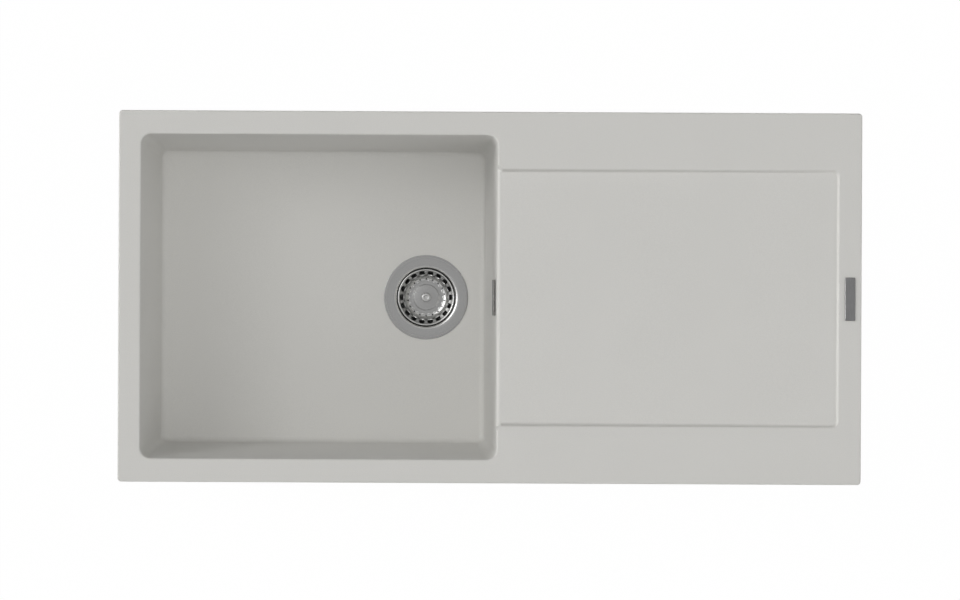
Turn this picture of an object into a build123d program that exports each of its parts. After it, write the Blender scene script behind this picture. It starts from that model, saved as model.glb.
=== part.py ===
from build123d import *
from math import ceil, cos, radians, sin, tan
import os

# Kitchen sink with drainboard: one mineral-composite casting with a large bowl on the left and a
# recessed drainboard on the right, its strainer waste, its overflow and the clips that hold it.
# Millimetres. X runs along the sink, +Y is the back, and Z = 0 is the worktop that the rim rests on.
# The origin is the middle of the sink's outline.

# Rim
sink_length = 1000
sink_width = 500
rim_thickness = 9
rim_corner = 5  # outline's corner, seen from above
rim_edge_round = 2

# Bowl
bowl_length = 480  # at the rim's upper face
bowl_left_ledge = 30  # from the sink's left end to the bowl
bowl_side_ledge = 32  # in front of the bowl and behind it
bowl_depth = 200  # from the rim's upper face to the drain
bowl_draft = 4.75  # degrees that each wall leans
bowl_corner = 13.5
bowl_floor_corner = 10
bowl_lip_round = 2.5
bowl_floor_round = 8
floor_fall = 0.008  # the floor falls this much per millimetre towards the drain
wall_thickness = 9
floor_thickness = 10
bowl_outer_round = 14

# Drainboard
drainboard_right_ledge = 31
drainboard_inset = 45.5  # its front and back lie this far inside the bowl's
drainboard_corner = 8
drainboard_depth_at_end = 3.5
drainboard_depth_at_bowl = 6.5
drainboard_step_draft = 25  # degrees that the step leans
drainboard_step_round = 3
drainboard_lip_round = 6
ledge_corner_cut = 6.5  # where the drainboard's step meets the bowl
drainboard_thickness = 8
drainboard_tray_overlap = 4  # the tray underneath reaches this far past the recess
tray_rib_thickness = 5
tray_rib_height = 9
tray_rib_y = 80
tray_cross_rib_share = 0.55  # its place between the bowl and the drainboard's end

# Tap holes, moulded from below and closed by a thin web until they are knocked out
tap_hole_radius = 17.5
tap_hole_web = 3
tap_hole_spacing = 100
tap_hole_from_bowl = 60
tap_hole_from_edge = 39

# Blank plate on the right rim
plate_length = 58
plate_width = 13.5
plate_height = 3
plate_corner = 0.8
plate_seat_depth = 0.8
plate_pad_thickness = 0.4
plate_play = 0.3

# Waste: its place, and the play of the holes that it stands in
drain_from_bowl_end = 98  # from the bowl's right edge to the drain's axis
drain_hole_play = 2.8
flange_seat_play = 0.3
flange_seat_depth = 1.5

# Waste flange, a pressed steel dish; heights count from the bowl's floor at the drain
steel_sheet = 1
flange_width = 17.4
flange_crown = 1.2
flange_slope = 3  # width of its sloping edge
flange_edge_bend = 2
throat_radius = 40.8
throat_bend = 4.6
throat_depth = 24
cone_bottom_radius = 29
cone_bottom_depth = 32
sump_radius = 27.5
sump_depth = 45
sump_hole_count = 6
sump_hole_radius = 5
sump_hole_circle = 17.5
gasket_play = 2  # round the drain hole
upper_gasket_width = 7
lower_gasket_width = 6.5
lower_gasket_thickness = 3

# Waste body, a plastic moulding under the bowl
body_flange_margin = 1  # round the lower gasket
body_flange_thickness = 5
body_cup_play = 0.5  # its bore is this much wider than the drain hole, at each side
body_wall = 3
body_cup_depth = 56
body_cone_depth = 72
body_total_depth = 96
outlet_radius = 23.9  # 1 1/2 inch thread, over the crests
outlet_wall = 3.4
body_rib_count = 12
body_rib_thickness = 2.5
body_rib_reach = 4
boss_radius = 9
boss_top_depth = 58
boss_rib_count = 3
boss_rib_thickness = 3

# Clamp screw through the dish into a brass nut in the body
clamp_screw_radius = 3
clamp_head_radius = 7
clamp_head_height = 8
clamp_head_edge = 0.8
clamp_socket_depth = 6
clamp_screw_end = 1.5  # it passes the nut by this much
clamp_nut_across_flats = 11
clamp_nut_length = 10
clamp_nut_floor = 3  # plastic left under the nut, which with it makes the boss's length

# Strainer basket, stem, knob and seal
basket_play = 1.8  # between its rim and the throat
basket_rim_width = 2.4
basket_rim_depth = 1.5  # below the floor
basket_rim_drop = 1.6
basket_sheet = 0.8
basket_base_radius = 29
basket_base_depth = 27
basket_shoulder_bend = 5
basket_step_radius = 18.2
basket_step_height = 1
slot_count = 18
slot_width = 8
slot_top_depth = 3.5
slot_bottom_depth = 20.5
weep_hole_radius = 1.2
weep_hole_sides = 8
weep_hole_circle = 25.5
stem_radius = 3
stem_collar_radius = 5
stem_collar_thickness = 1.2
stem_tip_depth = 41
knob_radius = 6.2
knob_waist_radius = 4.2
knob_height = 12.5
knob_cap_height = 4.5
knob_foot_radius = 5.4
knob_foot_height = 1.5
knob_dimple_radius = 1.8
knob_dimple_depth = 0.7
seal_radius = 33
seal_edge_thickness = 2
seal_thickness = 4
backing_washer_radius = 10
backing_washer_thickness = 1

# Overflow in the bowl's right wall; heights count from the worktop
overflow_height = -30
overflow_slot_length = 40
overflow_slot_height = 16
cover_length = 48
cover_height = 26
cover_thickness = 1
cover_stand_off = 1.6
cover_corner = 1.5
overflow_gasket_thickness = 2
elbow_flange_length = 54
elbow_flange_height = 32
elbow_flange_thickness = 4
elbow_corner = 6
elbow_axis_distance = 46  # from the wall's inner face to the middle of the spigot
elbow_wall = 3
elbow_boss_radius = 4.5
elbow_bridge_height = 4.4
elbow_bridge_depth = 9
elbow_spigot_length = 20
cover_screw_radius = 2
cover_screw_head_radius = 4
cover_screw_length = 18

# Overflow hose and its unions
port_radius = 13.2
port_bore = 9.5
port_length = 18  # past the waste body's cup
port_depth = 35
hose_cuff_radius = 10
hose_rib_radius = 12
hose_root_radius = 10.4
hose_bore = 8.4
hose_cuff_length = 26
hose_rib_pitch = 5
hose_bend_radius = 33
union_radius = 17.5
union_wall_play = 0.2
union_length = 18
union_roof = 3
union_grip_count = 12
union_grip_width = 3
union_grip_height = 1.2
hose_washer_length = 4
hose_washer_cone = 1.6

# Fixing clips under the rim
clip_from_edge = 16
clip_from_end = 180
clip_boss_radius = 6
clip_boss_length = 14
clip_anchor_hole_radius = 4
clip_anchor_top = 4.5  # the blind hole's end, above the worktop
clip_anchor_flange_radius = 5.5
clip_anchor_flange_thickness = 1.5
clip_screw_radius = 2.5
clip_screw_tip = -8
clip_screw_head_radius = 4.8
clip_screw_head_height = 3.2
clip_screw_slot_width = 1.2
clip_screw_slot_depth = 1.6
claw_top = -43  # the claw's upper face, hanging loose
claw_thickness = 2
claw_width = 11
claw_reach = 28
claw_heel = 6
claw_leg_width = 6
claw_leg_height = 8
claw_tooth_height = 3
claw_tooth_count = 3
claw_hole_play = 0.3

# Clearances
loose = 0.3  # pieces that only lie beside each other
running = 0.08  # round pieces that turn or slide in each other
snug = 0.05  # pieces that are fixed in each other

# Places that follow from the values above
rim_top = rim_thickness
bowl_left = -sink_length / 2 + bowl_left_ledge
bowl_right = bowl_left + bowl_length
bowl_width = sink_width - 2 * bowl_side_ledge
bowl_middle = (bowl_left + bowl_right) / 2
wall_lean = tan(radians(bowl_draft))
seat_level = rim_top - bowl_depth
floor_underside = seat_level - floor_thickness
drainboard_right = sink_length / 2 - drainboard_right_ledge
drainboard_width = bowl_width - 2 * drainboard_inset
drainboard_slope = (drainboard_depth_at_bowl - drainboard_depth_at_end) / (drainboard_right - bowl_right)
drain_x = bowl_right - drain_from_bowl_end
drain_top = Pos(drain_x, 0, seat_level)
drain_hole_radius = throat_radius + steel_sheet + drain_hole_play
flange_radius = throat_radius + flange_width
flange_seat_radius = flange_radius + flange_seat_play
gasket_inner_radius = drain_hole_radius + gasket_play
upper_gasket_radius = gasket_inner_radius + upper_gasket_width
lower_gasket_radius = gasket_inner_radius + lower_gasket_width
body_flange_radius = lower_gasket_radius + body_flange_margin
body_cup_radius = drain_hole_radius + body_cup_play + body_wall
boss_length = clamp_nut_length + clamp_nut_floor
basket_radius = throat_radius - basket_play
well_clear = 30  # how far a cutting tool stands past the solid that it cuts


def wall_x(level):
    """Where the bowl's right wall is at a height."""
    return bowl_right - (rim_top - level) * wall_lean


def drainboard_level(x):
    """Height of the drainboard's upper face."""
    return rim_top - drainboard_depth_at_end - drainboard_slope * (drainboard_right - x)


def turned(points):
    """A solid turned about the Z axis from a closed outline of (radius, height) points."""
    outline = make_face(Polyline(*[(r, 0, z) for r, z in points], close=True))
    return revolve(outline, Axis.Z)


def pressed(points, thickness, bends=()):
    """Sheet metal turned about the Z axis: points give its upper face from the outside inwards,
    and bends the inside radii at its first corners, 0 for a sharp one."""
    line = [Vector(r, z) for r, z in points]
    along = [(after - before).normalized() for before, after in zip(line, line[1:])]
    across = [Vector(-step.Y, step.X) for step in along]
    lower = [line[0] + across[0] * thickness]
    for corner, before, after in zip(line[1:], across, across[1:]):
        mitre = before + after
        lower.append(corner + mitre * (2 * thickness / mitre.dot(mitre)))
    lower.append(line[-1] + across[-1] * thickness)
    sheet = make_face(Polyline(*line, *reversed(lower), close=True))
    for place, bend in enumerate(bends, start=1):
        if bend == 0:
            continue
        turns_down = along[place - 1].cross(along[place]).Z > 0
        upper_radius = bend + thickness if turns_down else bend
        lower_radius = bend if turns_down else bend + thickness
        for corner, radius in ((line[place], upper_radius), (lower[place], lower_radius)):
            sheet = fillet(sheet.vertices().sort_by_distance(corner)[0], radius)
    return revolve(Plane.XZ * sheet, Axis.Z)


def tube(outer, inner, low, high):
    """An upright ring."""
    ring = Circle(outer) - Circle(inner) if inner else Circle(outer)
    return Pos(0, 0, low) * extrude(ring, high - low)


# Basin


def bowl_form(grow, level):
    """The bowl's leaning sides from the rim's top down to a level, grown outwards by grow."""
    inset = (rim_top - level) * wall_lean
    upper = RectangleRounded(bowl_length + 2 * grow, bowl_width + 2 * grow, bowl_corner + grow)
    lower = RectangleRounded(
        bowl_length + 2 * (grow - inset), bowl_width + 2 * (grow - inset), bowl_floor_corner + grow
    )
    return loft(
        [Pos(bowl_middle, 0, rim_top) * upper, Pos(bowl_middle, 0, level) * lower], ruled=True
    )


def bowl_hollow():
    """The space inside the bowl. Its floor is a wide cone that falls to the drain."""
    reach = sink_length
    above_floor = turned(
        [
            (0, 0),
            (flange_seat_radius, 0),
            (reach, (reach - flange_seat_radius) * floor_fall),
            (reach, bowl_depth + well_clear),
            (0, bowl_depth + well_clear),
        ]
    )
    hollow = bowl_form(0, seat_level - floor_thickness / 2) & (drain_top * above_floor)
    floor_edges = [
        edge
        for edge in hollow.edges()
        if edge.center().Z < seat_level + bowl_floor_round and abs(edge.tangent_at(0.5).Z) < 0.3
        and edge.bounding_box().diagonal > 1
        and edge.distance_to(Vertex(drain_x, 0, seat_level)) > flange_seat_radius + 1
    ]
    return fillet(floor_edges, bowl_floor_round)


def drainboard_hollow():
    """The shallow recess: a stepped outline over a floor that falls to the bowl and rolls over its lip."""
    half = drainboard_width / 2
    inside = bowl_right - well_clear
    plan = make_face(
        Polyline(
            (drainboard_right, half),
            (bowl_right + ledge_corner_cut, half),
            (inside, half + bowl_right + ledge_corner_cut - inside),
            (inside, -half - bowl_right - ledge_corner_cut + inside),
            (bowl_right + ledge_corner_cut, -half),
            (drainboard_right, -half),
            close=True,
        )
    )
    end_corners = plan.vertices().sort_by(Axis.X)[-2:]
    plan = fillet(end_corners, drainboard_corner)
    stepped = extrude(
        Pos(0, 0, rim_top) * plan, drainboard_depth_at_bowl + well_clear / 3, (0, 0, -1),
        taper=drainboard_step_draft,
    )
    lip_x = wall_x(drainboard_level(bowl_right))
    deep = rim_top - well_clear
    beyond = drainboard_right + well_clear
    side = make_face(
        Polyline(
            (beyond, drainboard_level(beyond)),
            (lip_x, drainboard_level(lip_x)),
            (wall_x(deep), deep),
            (inside - well_clear, deep),
            (inside - well_clear, rim_top + well_clear),
            (beyond, rim_top + well_clear),
            close=True,
        )
    )
    lip = side.vertices().sort_by_distance((lip_x, drainboard_level(lip_x), 0))[0]
    side = fillet(lip, drainboard_lip_round)
    over_floor = extrude(Plane.XZ * side, sink_width / 2, both=True)
    hollow = stepped & over_floor
    foot_edges = [
        edge
        for edge in hollow.edges()
        if edge.center().X > bowl_right + drainboard_lip_round
        and abs(edge.center().Z - drainboard_level(edge.center().X)) < 0.2
    ]
    return fillet(foot_edges, drainboard_step_round)


def clip_places():
    """Each clip's place under the rim, turned so that +X points out of the sink."""
    side = sink_width / 2 - clip_from_edge
    end = sink_length / 2 - clip_from_edge
    along = sink_length / 2 - clip_from_end
    places = [Pos(x, -side, 0) * Rot(0, 0, -90) for x in (-along, along)]
    places += [Pos(end, 0, 0)]
    places += [Pos(x, side, 0) * Rot(0, 0, 90) for x in (along, -along)]
    places += [Pos(-end, 0, 0) * Rot(0, 0, 180)]
    return places


def tap_hole_places():
    """Two knock-outs in each long ledge, beside the bowl."""
    x = bowl_right + tap_hole_from_bowl
    y = sink_width / 2 - tap_hole_from_edge
    return [(x + step * tap_hole_spacing, side * y) for side in (1, -1) for step in (0, 1)]


def overflow_frame():
    """Local frame on the bowl's right wall: +X runs out through the wall and +Z up along it."""
    return Pos(wall_x(overflow_height), 0, overflow_height) * Rot(0, bowl_draft, 0)


def sink_basin():
    outline = RectangleRounded(sink_length, sink_width, rim_corner)
    body = extrude(outline, rim_thickness)
    tray_left = bowl_right
    tray_right = drainboard_right + drainboard_tray_overlap
    tray_side = extrude(
        Plane.XZ
        * make_face(
            Polyline(
                (tray_left, rim_top / 2),
                (tray_left, drainboard_level(tray_left) - drainboard_thickness),
                (tray_right, drainboard_level(tray_right) - drainboard_thickness),
                (tray_right, rim_top / 2),
                close=True,
            )
        ),
        drainboard_width / 2 + drainboard_tray_overlap,
        both=True,
    )
    rib_side = make_face(
        Polyline(
            (tray_left, rim_top / 2),
            (tray_left, drainboard_level(tray_left) - drainboard_thickness - tray_rib_height),
            (tray_right - tray_rib_height, drainboard_level(tray_right) - drainboard_thickness),
            (tray_right - tray_rib_height, rim_top / 2),
            close=True,
        )
    )
    cross_x = tray_left + (tray_right - tray_left) * tray_cross_rib_share
    cross_low = drainboard_level(cross_x) - drainboard_thickness - tray_rib_height / 2
    for side in (1, -1):
        body += Pos(0, side * tray_rib_y, 0) * extrude(
            Plane.XZ * rib_side, tray_rib_thickness / 2, both=True
        )
    body += Pos(cross_x, 0, cross_low) * Box(
        tray_rib_thickness, drainboard_width, rim_top / 2 - cross_low,
        align=(Align.CENTER, Align.CENTER, Align.MIN),
    )
    bowl_shell = bowl_form(wall_thickness, floor_underside)
    underside = bowl_shell.faces().sort_by(Axis.Z)[0]
    bowl_shell = fillet(underside.edges(), bowl_outer_round)
    body += tray_side
    body += bowl_shell
    for place in clip_places():
        body += place * tube(clip_boss_radius, 0, -clip_boss_length, rim_top / 2)

    body -= bowl_hollow() + drainboard_hollow()
    lip_edges = [
        edge
        for edge in body.edges()
        if abs(edge.center().Z - rim_top) < 0.01
        and abs(edge.center().X) < sink_length / 2 - bowl_left_ledge / 2
        and abs(edge.center().Y) < sink_width / 2 - bowl_left_ledge / 2
    ]
    body = fillet(lip_edges, bowl_lip_round)
    outer_edges = [
        edge
        for edge in body.edges()
        if abs(edge.center().Z - rim_top) < 0.01
        and (
            abs(edge.center().X) > sink_length / 2 - rim_corner
            or abs(edge.center().Y) > sink_width / 2 - rim_corner
        )
    ]
    body = fillet(outer_edges, rim_edge_round)

    body -= drain_top * tube(flange_seat_radius, 0, -flange_seat_depth, well_clear)
    body -= drain_top * tube(drain_hole_radius, 0, -floor_thickness - well_clear, 0)
    slot = SlotOverall(overflow_slot_length, overflow_slot_height)
    body -= overflow_frame() * extrude(
        Plane.YZ * slot, wall_thickness * 1.5, both=True
    )
    for x, y in tap_hole_places():
        body -= Pos(x, y, 0) * tube(tap_hole_radius, 0, -well_clear, rim_top - tap_hole_web)
    for place in clip_places():
        body -= place * tube(clip_anchor_hole_radius, 0, -well_clear, clip_anchor_top)
    seat = RectangleRounded(
        plate_width + 2 * plate_play, plate_length + 2 * plate_play, plate_corner + plate_play
    )
    body -= plate_place() * extrude(seat, well_clear)
    return body


# Blank plate on the rim


def plate_place():
    """Middle of the plate's seat, on the right rim."""
    return Pos(sink_length / 2 - drainboard_right_ledge / 2, 0, rim_top - plate_seat_depth)


def rim_plate():
    blank = RectangleRounded(plate_width, plate_length, plate_corner)
    plate = extrude(Pos(0, 0, plate_pad_thickness) * blank, plate_height)
    plate = chamfer(plate.faces().sort_by(Axis.Z)[-1].edges(), plate_corner / 2)
    return plate_place() * plate


def rim_plate_pad():
    pad = RectangleRounded(plate_width - 1, plate_length - 1, plate_corner / 2)
    return plate_place() * extrude(pad, plate_pad_thickness)


# Waste


def waste_flange():
    """Pressed dish: a crowned flange whose edge stands flat on the seat, a straight throat,
    the seal's cone and a drilled sump."""
    line = [
        (flange_radius, -flange_seat_depth),
        (flange_radius - flange_slope, flange_crown),
        (throat_radius, flange_crown),
        (throat_radius, -throat_depth),
        (cone_bottom_radius, -cone_bottom_depth),
        (sump_radius, -sump_depth),
        (clamp_screw_radius + running, -sump_depth),
    ]
    bends = [flange_edge_bend, throat_bend]
    dish = pressed(line, steel_sheet, bends)
    foot = -flange_seat_depth
    dish -= tube(flange_seat_radius, upper_gasket_radius, foot - steel_sheet, foot)
    hole = tube(sump_hole_radius, 0, -sump_depth - well_clear, -cone_bottom_depth)
    for step in range(sump_hole_count):
        dish -= Rot(0, 0, 360 / sump_hole_count * step) * Pos(sump_hole_circle, 0, 0) * hole
    return drain_top * dish


def upper_gasket():
    top = flange_crown - steel_sheet
    ring = tube(upper_gasket_radius, gasket_inner_radius, -flange_seat_depth, top)
    return drain_top * ring


def lower_gasket():
    high = -floor_thickness
    ring = tube(lower_gasket_radius, gasket_inner_radius, high - lower_gasket_thickness, high)
    return drain_top * ring


def waste_body():
    """Cup, cone and threaded spigot, stiffened outside, with the screw's boss on three spokes inside."""
    top = -floor_thickness - lower_gasket_thickness
    outlet_bore = outlet_radius - outlet_wall
    cup_bore = body_cup_radius - body_wall
    shell = turned(
        [
            (cup_bore, top),
            (body_flange_radius, top),
            (body_flange_radius, top - body_flange_thickness),
            (body_cup_radius, top - body_flange_thickness),
            (body_cup_radius, -body_cup_depth),
            (outlet_radius, -body_cone_depth),
            (outlet_radius, -body_total_depth),
            (outlet_bore, -body_total_depth),
            (outlet_bore, -body_cone_depth),
            (cup_bore, -body_cup_depth + body_wall),
        ]
    )
    rib_side = make_face(
        Polyline(
            (body_cup_radius - body_wall / 2, top - body_flange_thickness / 2),
            (body_cup_radius + body_rib_reach, top - body_flange_thickness / 2),
            (body_cup_radius + body_rib_reach, top - body_flange_thickness - body_rib_reach),
            (body_cup_radius - body_wall / 2, top - body_flange_thickness - 3 * body_rib_reach),
            close=True,
        )
    )
    rib = extrude(Plane.XZ * rib_side, body_rib_thickness / 2, both=True)
    for step in range(body_rib_count):
        shell += Rot(0, 0, 360 / body_rib_count * (step + 0.5)) * rib
    spoke_side = make_face(
        Polyline(
            (0, -boss_top_depth),
            (cup_bore + body_wall / 2, -boss_top_depth + body_wall),
            (cup_bore + body_wall / 2, -body_cup_depth),
            (outlet_bore + outlet_wall / 2, -body_cone_depth),
            (outlet_bore + outlet_wall / 2, -boss_top_depth - boss_length),
            (0, -boss_top_depth - boss_length),
            close=True,
        )
    )
    envelope = turned(
        [
            (0, top),
            (cup_bore + body_wall / 2, top),
            (cup_bore + body_wall / 2, -body_cup_depth),
            (outlet_bore + outlet_wall / 2, -body_cone_depth),
            (outlet_bore + outlet_wall / 2, -body_total_depth),
            (0, -body_total_depth),
        ]
    )
    spoke = extrude(Plane.XZ * spoke_side, boss_rib_thickness / 2, both=True) & envelope
    for step in range(boss_rib_count):
        shell += Rot(0, 0, 360 / boss_rib_count * step + 180) * spoke
    shell += tube(boss_radius, 0, -boss_top_depth - boss_length, -boss_top_depth)
    port = Plane(origin=(cup_bore, 0, -port_depth), z_dir=(1, 0, 0))
    reach = body_wall + port_length
    shell += port * Pos(0, 0, body_wall / 2) * extrude(Circle(port_radius), reach - body_wall / 2)
    shell -= port * Pos(0, 0, -body_wall) * extrude(Circle(port_bore), reach + 2 * body_wall)
    nut = RegularPolygon(clamp_nut_across_flats / 2 + snug, 6, major_radius=False)
    shell -= Pos(0, 0, -boss_top_depth) * extrude(nut, -clamp_nut_length)
    shell -= tube(clamp_screw_radius + loose, 0, -body_total_depth, 0)
    return drain_top * shell


def clamp_nut():
    blank = RegularPolygon(clamp_nut_across_flats / 2, 6, major_radius=False)
    nut = extrude(blank - Circle(clamp_screw_radius + snug), -clamp_nut_length)
    return drain_top * Pos(0, 0, -boss_top_depth) * nut


def clamp_screw():
    """Long screw whose hollow head guides the strainer's stem."""
    seat = -sump_depth
    end = -boss_top_depth - clamp_nut_length - clamp_screw_end
    screw = tube(clamp_head_radius, 0, seat, seat + clamp_head_height)
    screw = chamfer(screw.edges().sort_by(Axis.Z)[-1], clamp_head_edge)
    screw += tube(clamp_screw_radius, 0, end, seat)
    screw -= tube(
        stem_radius + running, 0, seat + clamp_head_height - clamp_socket_depth,
        seat + clamp_head_height + well_clear,
    )
    return drain_top * screw


# Strainer


def basket():
    """Perforated cup: turned-down rim, slotted wall, rounded shoulder and a base stepped up inside."""
    line = [
        (basket_radius, -basket_rim_depth - basket_rim_drop),
        (basket_radius, -basket_rim_depth),
        (basket_radius - basket_rim_width, -basket_rim_depth),
        (basket_base_radius, -basket_base_depth),
        (basket_step_radius, -basket_base_depth),
        (basket_step_radius - basket_sheet, -basket_base_depth + basket_step_height),
        (stem_radius + running, -basket_base_depth + basket_step_height),
    ]
    cup = pressed(line, basket_sheet, [0, 0, basket_shoulder_bend])
    slot_height = slot_bottom_depth - slot_top_depth
    slot = chamfer(Rectangle(slot_width, slot_height).vertices(), slot_width * 0.3)
    middle = -(slot_top_depth + slot_bottom_depth) / 2
    cutter = Pos(basket_step_radius, 0, middle) * extrude(Plane.YZ * slot, basket_radius)
    weep = Pos(0, 0, -sump_depth) * extrude(
        RegularPolygon(weep_hole_radius, weep_hole_sides), sump_depth - slot_bottom_depth
    )
    pitch = 360 / slot_count
    for step in range(slot_count):
        cup -= Rot(0, 0, pitch * step) * cutter
        cup -= Rot(0, 0, pitch * (step + 0.5)) * Pos(weep_hole_circle, 0, 0) * weep
    return drain_top * cup


def seal_top():
    """Depth of the seal's upper face, just under the basket's raised middle."""
    return -basket_base_depth - basket_sheet - loose


def cone_height(radius):
    """Height of the dish's cone at a radius, over the part where the seal closes it."""
    run = throat_radius - cone_bottom_radius
    return -throat_depth - (throat_radius - radius) * (cone_bottom_depth - throat_depth) / run


def basket_seal():
    top = seal_top()
    edge_low = cone_height(seal_radius) + loose
    profile = [
        (stem_radius + snug, top),
        (seal_radius, top),
        (seal_radius, max(edge_low, top - seal_edge_thickness)),
        (seal_radius - 4, top - seal_edge_thickness - 1),
        (backing_washer_radius + 1, top - seal_thickness),
        (stem_radius + snug, top - seal_thickness),
    ]
    return drain_top * turned(profile)


def backing_washer():
    top = seal_top() - seal_thickness
    ring = tube(backing_washer_radius, stem_radius + snug, top - backing_washer_thickness, top)
    return drain_top * ring


def strainer_stem():
    """Pin that joins knob and seal; its rounded tip drops into the clamp screw's head."""
    collar_top = seal_top() - seal_thickness - backing_washer_thickness
    pin_top = knob_foot() + knob_height / 2
    pin = tube(stem_radius, 0, -stem_tip_depth, pin_top)
    pin = chamfer(pin.edges().sort_by(Axis.Z)[0], stem_radius / 2)
    pin += tube(stem_collar_radius, 0, collar_top - stem_collar_thickness, collar_top)
    return drain_top * pin


def knob_foot():
    """Height of the knob's foot, just over the basket's raised middle."""
    return -basket_base_depth + basket_step_height + loose


def basket_knob():
    """Small mushroom knob with a dimple."""
    foot = knob_foot()
    top = foot + knob_height
    side = make_face(
        Polyline(
            (0, foot),
            (knob_foot_radius, foot),
            (knob_foot_radius, foot + knob_foot_height),
            (knob_waist_radius, foot + knob_foot_height + 1),
            (knob_waist_radius, top - knob_cap_height),
            (knob_radius, top - knob_cap_height + 1),
            (knob_radius, top),
            (knob_dimple_radius + 0.5, top),
            (knob_dimple_radius, top - knob_dimple_depth),
            (0, top - knob_dimple_depth),
            close=True,
        )
    )
    crown = side.vertices().sort_by_distance((knob_radius, top, 0))[0]
    side = fillet(crown, 2)
    knob = revolve(Plane.XZ * side, Axis.Z)
    knob -= tube(stem_radius + snug, 0, foot - 1, foot + knob_height / 2 + snug)
    return drain_top * knob


# Overflow


def cover_place():
    """Middle of the cover's back, off the wall by the stand-off."""
    return overflow_frame() * Pos(-cover_stand_off, 0, 0)


def overflow_cover():
    blank = Plane.YZ * RectangleRounded(cover_length, cover_height, cover_corner)
    cover = extrude(blank, -cover_thickness)
    cover = chamfer(cover.faces().sort_by(Axis.X)[0].edges(), 0.4)
    cover -= countersink()
    return cover_place() * cover


def countersink():
    """Room for the cover screw's head and shank, through the cover."""
    bore = extrude(Plane.YZ * Circle(cover_screw_radius + snug), cover_thickness * 2, both=True)
    head = screw_head(snug)
    return bore + head


def screw_head(grow):
    """The countersunk head, flush with the cover's face."""
    outer = cover_screw_head_radius + grow
    inner = cover_screw_radius + grow
    cone = Cone(outer, inner, cover_thickness, align=(Align.CENTER, Align.CENTER, Align.MIN))
    return Pos(-cover_thickness, 0, 0) * Rot(0, 90, 0) * cone


def overflow_screw():
    shank = extrude(Plane.YZ * Circle(cover_screw_radius), cover_screw_length)
    screw = screw_head(0) + Pos(-snug, 0, 0) * shank
    cross = Box(1.2, 0.9, 5) + Box(1.2, 5, 0.9)
    screw -= Pos(-cover_thickness, 0, 0) * cross
    return cover_place() * screw


def wall_outside():
    """Distance through the leaning wall, square to it."""
    return wall_thickness * cos(radians(bowl_draft))


def overflow_gasket():
    ring = RectangleRounded(elbow_flange_length, elbow_flange_height, elbow_corner)
    ring -= SlotOverall(overflow_slot_length, overflow_slot_height)
    pad = extrude(Plane.YZ * ring, overflow_gasket_thickness)
    return overflow_frame() * Pos(wall_outside(), 0, 0) * pad


def overflow_elbow():
    """Chamber behind the wall with a spigot that points down, and the bridge that takes the screw."""
    face = wall_outside() + overflow_gasket_thickness
    back = elbow_axis_distance + port_radius
    half_width = overflow_slot_length / 2 + elbow_wall
    half_height = overflow_slot_height / 2 + elbow_wall
    flange = RectangleRounded(elbow_flange_length, elbow_flange_height, elbow_corner)
    elbow = Pos(face, 0, 0) * extrude(Plane.YZ * flange, elbow_flange_thickness)
    chamber_plan = make_face(
        Polyline(
            (face, half_width),
            (face + elbow_flange_thickness * 2, half_width),
            (back, port_radius),
            (back, -port_radius),
            (face + elbow_flange_thickness * 2, -half_width),
            (face, -half_width),
            close=True,
        )
    )
    chamber_plan = fillet(chamber_plan.vertices().sort_by(Axis.X)[-2:], port_radius * 0.6)
    room_plan = offset(chamber_plan, -elbow_wall)
    room_plan += Pos(face + elbow_wall, 0) * Rectangle(4 * elbow_wall, overflow_slot_length)
    elbow += extrude(chamber_plan, half_height, both=True)
    spigot_low = -half_height - elbow_spigot_length
    elbow += Pos(elbow_axis_distance, 0, 0) * tube(port_radius, 0, spigot_low, 0)
    elbow -= extrude(room_plan, half_height - elbow_wall, both=True)
    elbow -= Pos(elbow_axis_distance, 0, 0) * tube(port_bore, 0, spigot_low - 1, 0)
    elbow -= Pos(face, 0, 0) * extrude(
        Plane.YZ * SlotOverall(overflow_slot_length, overflow_slot_height),
        elbow_flange_thickness, both=True,
    )
    bridge = Box(
        elbow_bridge_depth, overflow_slot_length + elbow_wall, elbow_bridge_height,
        align=(Align.MIN, Align.CENTER, Align.CENTER),
    )
    elbow += Pos(face, 0, 0) * bridge
    boss = Plane.YZ * Circle(elbow_boss_radius)
    elbow += Pos(-cover_stand_off, 0, 0) * extrude(boss, face + cover_stand_off + elbow_bridge_depth)
    bore = Plane.YZ * Circle(cover_screw_radius + snug)
    elbow -= Pos(-2 * cover_stand_off, 0, 0) * extrude(bore, face + elbow_bridge_depth * 2)
    return overflow_frame() * elbow


# Hose and unions


def hose_ends():
    """Where the hose starts under the elbow and ends at the waste body, and the corner between."""
    low = -overflow_slot_height / 2 - elbow_wall - elbow_spigot_length
    start = (overflow_frame() * Pos(elbow_axis_distance, 0, low)).position
    end = Vector(drain_x + body_cup_radius + port_length, 0, seat_level - port_depth)
    corner = Vector(start.X - (start.Z - end.Z) * wall_lean, 0, end.Z)
    return start, corner, end


def hose_path():
    return FilletPolyline(*hose_ends(), radius=hose_bend_radius)


def hose_section(path, distance, radius):
    """A circle across the hose, with its X axis held along the sink's Y."""
    share = distance / path.length
    plane = Plane(origin=path @ share, x_dir=(0, 1, 0), z_dir=path % share)
    return plane * Circle(radius)


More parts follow.
